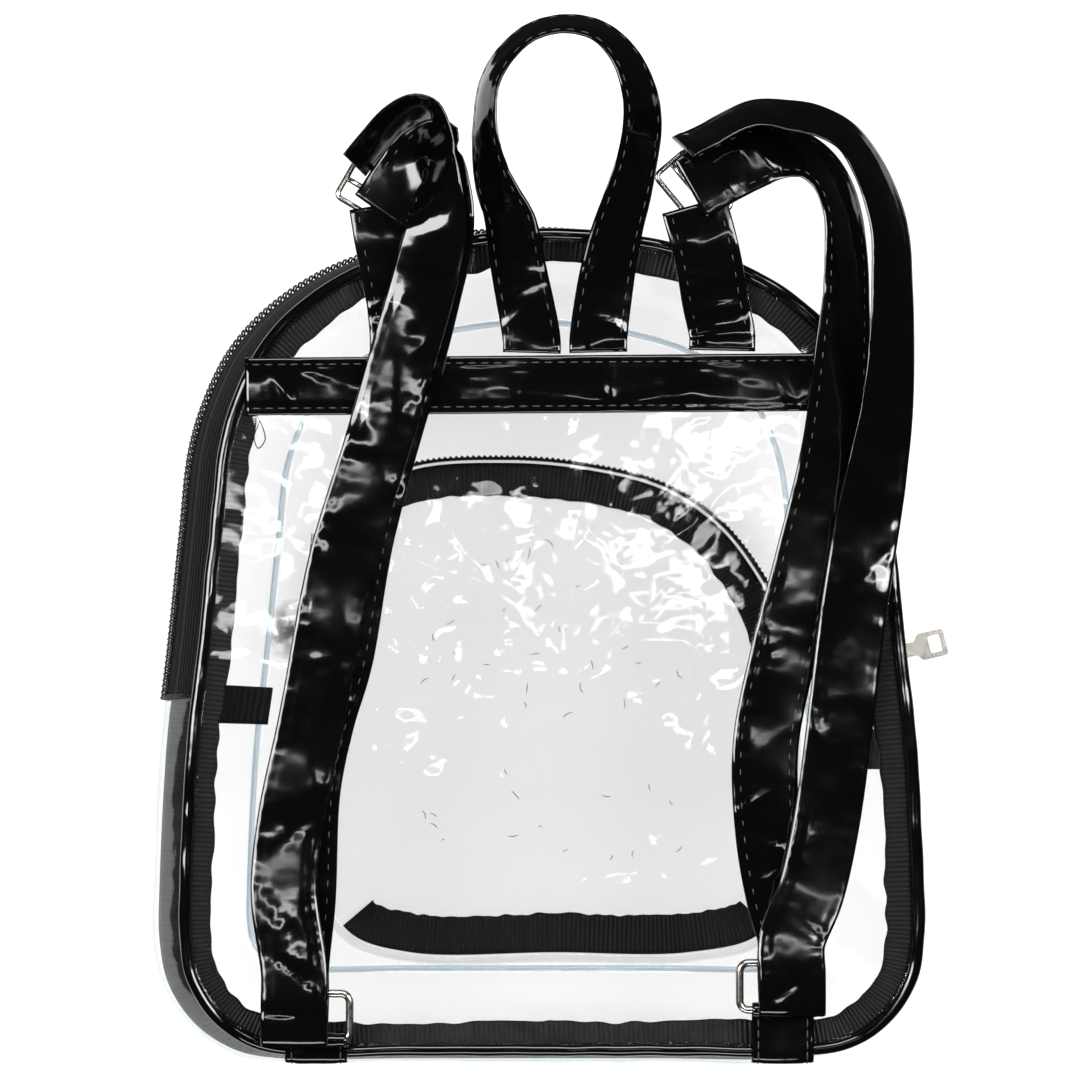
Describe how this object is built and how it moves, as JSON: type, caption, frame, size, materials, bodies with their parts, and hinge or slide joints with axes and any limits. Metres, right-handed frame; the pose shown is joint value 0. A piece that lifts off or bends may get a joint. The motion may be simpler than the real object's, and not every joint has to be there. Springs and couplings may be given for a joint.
{
  "type": "clear stadium backpack",
  "caption": "Small clear vinyl backpack with glossy black straps, carry handle, arched zip and a front pocket, lying on its front.",
  "frame": {"origin": "on the underside of the front pocket, in line with the middle of the back panel", "axes": "+Z out of the back panel, away from the floor; +Y towards the carry handle; +X towards the zip slider"},
  "size_m": [0.2951, 0.3818, 0.136],
  "materials": {
    "film": "clear pressed vinyl film",
    "patent": "glossy patent vinyl on cloth",
    "ribbon": "ribbed woven binding",
    "zip": "woven tape and nylon coil",
    "nickel": "bright nickel plate"
  },
  "bodies": {
    "bag": {"back_panel": "film", "front_panel": "film", "front_welt": "film", "gusset_lower": "film", "gusset_upper": "film", "pocket_panel": "film", "pocket_wall": "film", "back_piping": "patent", "zip_edge_strip": "patent", "back_band": "patent", "handle": "patent", "anchor_left": "patent", "anchor_right": "patent", "strap_left": "patent", "strap_right": "patent", "ring_tab_left": "patent", "ring_tab_right": "patent", "seam_ribbon": "ribbon", "joint_band_right": "ribbon", "joint_band_left": "ribbon", "pocket_ribbon": "ribbon", "pocket_hem": "ribbon", "zip_tape_back": "zip", "zip_tape_front": "zip", "zip_teeth": "zip", "pocket_tape_front": "zip", "pocket_tape_back": "zip", "pocket_teeth": "zip", "zip_slider": "nickel", "slide_left": "nickel", "slide_right": "nickel", "ring_left": "nickel", "ring_right": "nickel", "pocket_slider": "nickel"},
    "pull": {"zip_pull": "nickel"}
  },
  "joints": [
    {"name": "pull_turn", "type": "hinge", "parent": "bag", "child": "pull", "pos_m": [0.13123, -0.00412, 0.069], "axis": [0, 0, 1], "range_deg": [-75, 60]}
  ]
}
